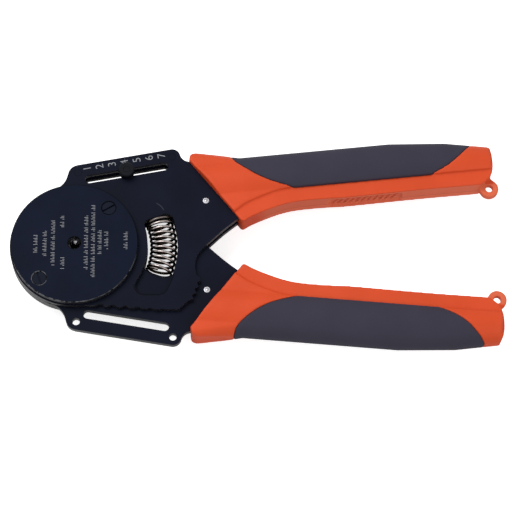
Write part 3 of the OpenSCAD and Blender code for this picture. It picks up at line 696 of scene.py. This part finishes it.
# Selector
# A black knurled knob sits on the front of the upper slot. Its stepped pin runs through both outer
# plates and a clip holds it at the rear.
knob_black = Finish("knob_black", Specular_IOR_Level=0.07)
knob_grain = knob_black.noise(scale=1700, detail=4, roughness=0.6)
knob_dark, knob_blue = (0.0016, 0.0020, 0.0042), (0.0032, 0.0038, 0.0070)
knob_black.feed(
    Base_Color=knob_black.mix(knob_grain.above(0.5, 0.2), knob_dark, knob_blue),
    Roughness=0.34 + knob_grain * 0.18,
).bump(knob_grain, depth=0.00002, strength=0.5)


def knurl(ridges, depth, low, high, lead):
    """Cuts crossed grooves between two heights; lead is the height that one ridge climbs."""

    def radius_at(angle, radius, height):
        if not low < height < high:
            return radius
        turn = ridges * angle / (2 * math.pi)
        slopes = [abs((turn + way * (height - low) / lead) % 1 - 0.5) for way in (-1, 1)]
        return radius - depth * (1 - 2 * min(slopes))

    return radius_at


def knurled_side(radius, low, high, rings):
    """Outline points up a straight side, near enough to each other for its grooves."""
    between = [(radius, low + (high - low) * ring / rings) for ring in range(1, rings)]
    return [(radius, low), *between, (radius, high)]


low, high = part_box("selector_knob")
knob_radius = (high.x - low.x) / 2
knob_centre = ((low.x + high.x) / 2, (low.y + high.y) / 2)
chamfer = 0.0004
dish_rim, dish = knob_radius * 0.45, knob_radius * 0.38
pin_low, pin_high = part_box("selector_pin")
pin_radius = (pin_high.x - pin_low.x) / 2
knurl_low, knurl_high = low.z + chamfer, high.z - chamfer
outline = [
    (0, (low.z + high.z) / 2), (pin_radius, (low.z + high.z) / 2), (pin_radius, low.z),
    (knob_radius - chamfer, low.z), *knurled_side(knob_radius, knurl_low, knurl_high, rings=13),
    (knob_radius - chamfer, high.z), (dish_rim, high.z), (dish, high.z - chamfer / 2),
    (0, high.z - chamfer / 2),
]
crossed = knurl(ridges=26, depth=0.00024, low=knurl_low, high=knurl_high, lead=0.0009)
mesh = turned(
    "selector_knob_knurled", outline, around=208, finish=knob_black, centre=knob_centre,
    radius_at=crossed,
)
place_piece("selector_knob_knurled", mesh, "selector", "knob_black", "selector_knob")
for node in ("selector_pin", "selector_clip"):
    mesh = eased(node, node + "_turned", fine_edge, pin_steel, pin_steel)
    place_piece(node + "_turned", mesh, "selector", "pin_steel", node)

# Contact locator
# On the rear cover a knurled knob screws in to set how deep a contact goes: it carries the stop pin
# in its middle, and a dark six-sided nut locks it.
low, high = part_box("locator_knob")
dial_radius = (high.x - low.x) / 2
dial_height, stem_radius, bore_radius = 0.005, 0.005, 0.00155
dial_top = low.z + dial_height
chamfer = 0.0006
knurl_low, knurl_high = low.z + chamfer, dial_top - chamfer
outline = [
    (bore_radius, low.z), (dial_radius - chamfer, low.z),
    *knurled_side(dial_radius, knurl_low, knurl_high, rings=15),
    (dial_radius - chamfer, dial_top), (stem_radius, dial_top),
    (stem_radius, high.z - chamfer / 2), (stem_radius - chamfer / 2, high.z), (bore_radius, high.z),
]
crossed = knurl(ridges=36, depth=0.00032, low=knurl_low, high=knurl_high, lead=0.0012)
mesh = turned("locator_knob_knurled", outline, around=288, finish=knob_black, radius_at=crossed)
place_piece("locator_knob_knurled", mesh, "locator_screw", "knob_black", "locator_knob")

low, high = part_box("stop_pin")
radius = (high.x - low.x) / 2
tip = 0.0003
outline = [
    (0, low.z), (radius - tip, low.z), (radius, low.z + tip), (radius, high.z - tip),
    (radius - tip, high.z), (0, high.z),
]
mesh = turned("stop_pin_ground", outline, around=36, finish=pin_steel)
place_piece("stop_pin_ground", mesh, "contact_stop", "pin_steel", "stop_pin")

nut_steel = ground("nut_steel", (0.06, 0.061, 0.07), (0.13, 0.13, 0.145), rough=0.34)
low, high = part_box("lock_nut")
corner_radius = (high.x - low.x) / 2
flat_radius = corner_radius * math.cos(math.pi / 6)
thread_radius = 0.00505
bevel = 0.0004


def six_sided(angle, radius, height):
    """Cuts the turned nut down to six flats."""
    return min(radius, flat_radius / math.cos(angle % (math.pi / 3) - math.pi / 6))


outline = [
    (thread_radius, low.z), (flat_radius, low.z), (corner_radius, low.z + bevel),
    (corner_radius, high.z - bevel), (flat_radius, high.z), (thread_radius, high.z),
]
mesh = turned("lock_nut_six_sided", outline, around=144, finish=nut_steel, radius_at=six_sided)
place_piece("lock_nut_six_sided", mesh, "locator_nut", "nut_steel", "lock_nut")

# Handles
# Each handle is a hard orange moulding over the steel tangs, with a flat band along its inner edge,
# a parting line in the middle of its inner wall and a soft grey inlay on its outer side.
mid_z = (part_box("cam_plate")[0].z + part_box("cam_plate")[1].z) / 2

orange_plastic = Finish("orange_plastic", Specular_IOR_Level=0.18)
orange_low, orange_high = (0.590, 0.062, 0.014), (0.640, 0.070, 0.018)
# A painted reflection: the inner wall is lighter and pinker, and a little lighter below the parting
wall_reflection_orange, low_wall_reflection_orange = (0.665, 0.130, 0.058), (0.700, 0.138, 0.064)
parting_brown = (0.36, 0.035, 0.010)
band_angle, band_foot = math.radians(5.4), (0.1185, 0.0223)
wall_depth, wall_from, wall_top = 0.00115, 0.090, mid_z + 0.0056
parting_z, parting_width = mid_z - 0.0015, 0.0003
x, y, z = orange_plastic.axes()
grain = orange_plastic.noise(scale=1600, detail=3, roughness=0.6)
cloud = orange_plastic.noise(scale=45)
across_band = (y.maths("ABSOLUTE") - band_foot[1]) * math.cos(band_angle)
across_band = across_band - (x - band_foot[0]) * math.sin(band_angle)
wall_reflection_mask = across_band.below(wall_depth, 0.0002) * x.above(wall_from, 0.004)
wall_reflection_mask = wall_reflection_mask * z.below(wall_top, 0.0003)
parting = z.near(parting_z, parting_width)
tone = orange_plastic.mix(cloud.above(0.5, 0.3), orange_low, orange_high)
wall_reflection_tone = orange_plastic.mix(z.below(parting_z, 0.0002), wall_reflection_orange, low_wall_reflection_orange)
tone = orange_plastic.mix(wall_reflection_mask, tone, wall_reflection_tone)
orange_plastic.feed(
    Base_Color=orange_plastic.mix(parting * 0.75, tone, parting_brown),
    Roughness=0.40 + grain * 0.14 + cloud * 0.06,
).bump(grain * 0.35 - parting, depth=0.00006, strength=0.7)

grey_rubber = Finish("grey_rubber", Specular_IOR_Level=0.14)
rubber_low, rubber_high = (0.029, 0.027, 0.042), (0.043, 0.040, 0.060)
pores = grey_rubber.noise(scale=2300, detail=4, roughness=0.65)
cloud = grey_rubber.noise(scale=70, detail=3)
grey_rubber.feed(
    Base_Color=grey_rubber.mix(cloud * 0.6 + pores * 0.4, rubber_low, rubber_high),
    Roughness=0.62 + pores * 0.2,
).bump(pores, depth=0.00005, strength=0.6)

mould_cell = 0.0005


def moulded(node, name, passes, finish):
    """A copy of a CAD node with the even small rounds that a mould leaves on every edge.

    More smoothing passes make the rounds larger.
    """
    carrier = bpy.data.objects.new(name, copy_of(node, name))
    scene.collection.objects.link(carrier)
    cells = carrier.modifiers.new("cells", "REMESH")
    cells.mode = "VOXEL"
    cells.voxel_size = mould_cell
    cells.use_smooth_shade = True
    soften = carrier.modifiers.new("soften", "SMOOTH")
    soften.factor = 0.5
    soften.iterations = passes
    view = bpy.context.evaluated_depsgraph_get()
    mesh = bpy.data.meshes.new_from_object(carrier.evaluated_get(view), depsgraph=view)
    bpy.data.objects.remove(carrier)
    mesh.materials.clear()
    mesh.materials.append(finish.material)
    return mesh


handle_bodies = {"upper": "frame", "lower": "moving_handle"}
for side, body in handle_bodies.items():
    shell = moulded(side + "_shell", side + "_shell_moulded", passes=4, finish=orange_plastic)
    place_piece(side + "_shell_moulded", shell, body, "orange_plastic", side + "_shell")
    inlay = moulded(side + "_grip", side + "_grip_inlay", passes=8, finish=grey_rubber)
    place_piece(side + "_grip_inlay", inlay, body, "grey_rubber", side + "_grip")

# Ribs in the wall panel
# A shallow panel in the inner wall of each handle carries a row of slanted half-round ribs, which
# are moulded in one with the orange shell.
panel_drop = 0.0006
band_start = Vector((*band_foot, mid_z - panel_drop))
panel_from, panel_to = 0.0045, 0.0400
panel_depth = 0.0009
rib_count = 11
rib_spacing = 0.0029
row = Builder(
    "panel_ribs", Ribs=rib_count, Spacing=rib_spacing, Slant=math.radians(24), Half_length=0.0029,
    Rib_radius=0.0007, Rib_sides=12,
)
size = row.size
offset = row.node("ShaderNodeCombineXYZ", {0: size["Spacing"]})
points = row.node("GeometryNodeMeshLine", {"Count": size["Ribs"], "Offset": offset})
foot = row.node("ShaderNodeCombineXYZ", {2: size["Half length"] * -1})
top = row.node("ShaderNodeCombineXYZ", {2: size["Half length"]})
bar = row.node("GeometryNodeCurvePrimitiveLine", {"Start": foot, "End": top})
bar_size = {"Resolution": size["Rib sides"], "Radius": size["Rib radius"]}
section = row.node("GeometryNodeCurvePrimitiveCircle", bar_size)
swept = {"Curve": bar, "Profile Curve": section, "Fill Caps": True}
rib = row.node("GeometryNodeCurveToMesh", swept)
lean = row.node("ShaderNodeCombineXYZ", {1: size["Slant"]})
spread = {"Points": points, "Instance": rib, "Rotation": lean}
ribs = row.node("GeometryNodeInstanceOnPoints", spread)
ribs_mesh = row.make("panel_ribs", ribs, orange_plastic)
first_rib = (panel_from + panel_to - rib_spacing * (rib_count - 1)) / 2
on_band = Matrix.Translation(band_start) @ Matrix.Rotation(band_angle, 4, "Z")
ribs_mesh.transform(on_band @ Matrix.Translation((first_rib, panel_depth, 0)))
for side, body in handle_bodies.items():
    mesh = ribs_mesh.copy()
    if side == "lower":
        mesh.transform(Matrix.Diagonal((1, -1, 1, 1)))
        mesh.flip_normals()
    place_piece(side + "_panel_ribs", mesh, body, "orange_plastic")

# Stage
# The floor carries the tool at its lowest point, the locator, and only a faint shadow shows on it.
# The studio around it is white where it is seen or mirrored, and softer where it only gives light.
floor_material = Finish("pale_floor", Roughness=0.9, Emission_Strength=1)
floor_tone = floor_material.noise(scale=14)

# A lift that only the camera sees makes the floor white in the picture and leaves its shadow
floor_lift = (0.70, 0.70, 0.70)
seen = floor_material.node("ShaderNodeLightPath", output="Is Camera Ray")
floor_material.feed(
    Base_Color=floor_material.mix(floor_tone, (0.80, 0.80, 0.80), (0.84, 0.84, 0.84)),
    Emission_Color=floor_material.mix(seen, (0, 0, 0), floor_lift),
)
floor_reach = 2.5
floor_z = cad_box[0].z
corners = [(-1, -1), (1, -1), (1, 1), (-1, 1)]
corners = [(way_x * floor_reach, way_y * floor_reach, floor_z) for way_x, way_y in corners]
floor_mesh = bpy.data.meshes.new("floor")
floor_mesh.from_pydata(corners, [], [(0, 1, 2, 3)])
floor_mesh.materials.append(floor_material.material)
floor = bpy.data.objects.new("floor", floor_mesh)
scene.collection.objects.link(floor)

studio_level = 0.55
world = bpy.data.worlds.new("studio")
world.use_nodes = True
scene.world = world
studio = Graph(world.node_tree)
path = studio.node("ShaderNodeLightPath")
ray_kinds = ("Is Camera Ray", "Is Glossy Ray", "Is Transmission Ray")
rays = [Wire(studio, path.socket.node.outputs[kind]) for kind in ray_kinds]
mirrored = rays[0].maths("MAXIMUM", rays[1]).maths("MAXIMUM", rays[2])
strength = studio_level + mirrored * (1 - studio_level)
background = world.node_tree.nodes["Background"]
background.inputs["Color"].default_value = (1, 1, 1, 1)
world.node_tree.links.new(strength.socket, background.inputs["Strength"])

middle = (cad_box[0] + cad_box[1]) / 2
for name, offset, size, power in (
    ("key_light", Vector((-0.45, 0.35, 0.9)), 0.7, 7.0),
    ("fill_light", Vector((0.5, -0.7, 0.8)), 0.8, 3.0),
):
    light = bpy.data.lights.new(name, "AREA")
    light.size = size
    light.energy = power
    lamp = bpy.data.objects.new(name, light)
    lamp.location = middle + offset
    lamp.rotation_mode = "QUATERNION"
    lamp.rotation_quaternion = (-offset).to_track_quat("-Z", "Y")
    scene.collection.objects.link(lamp)

scene.view_settings.view_transform = "Standard"
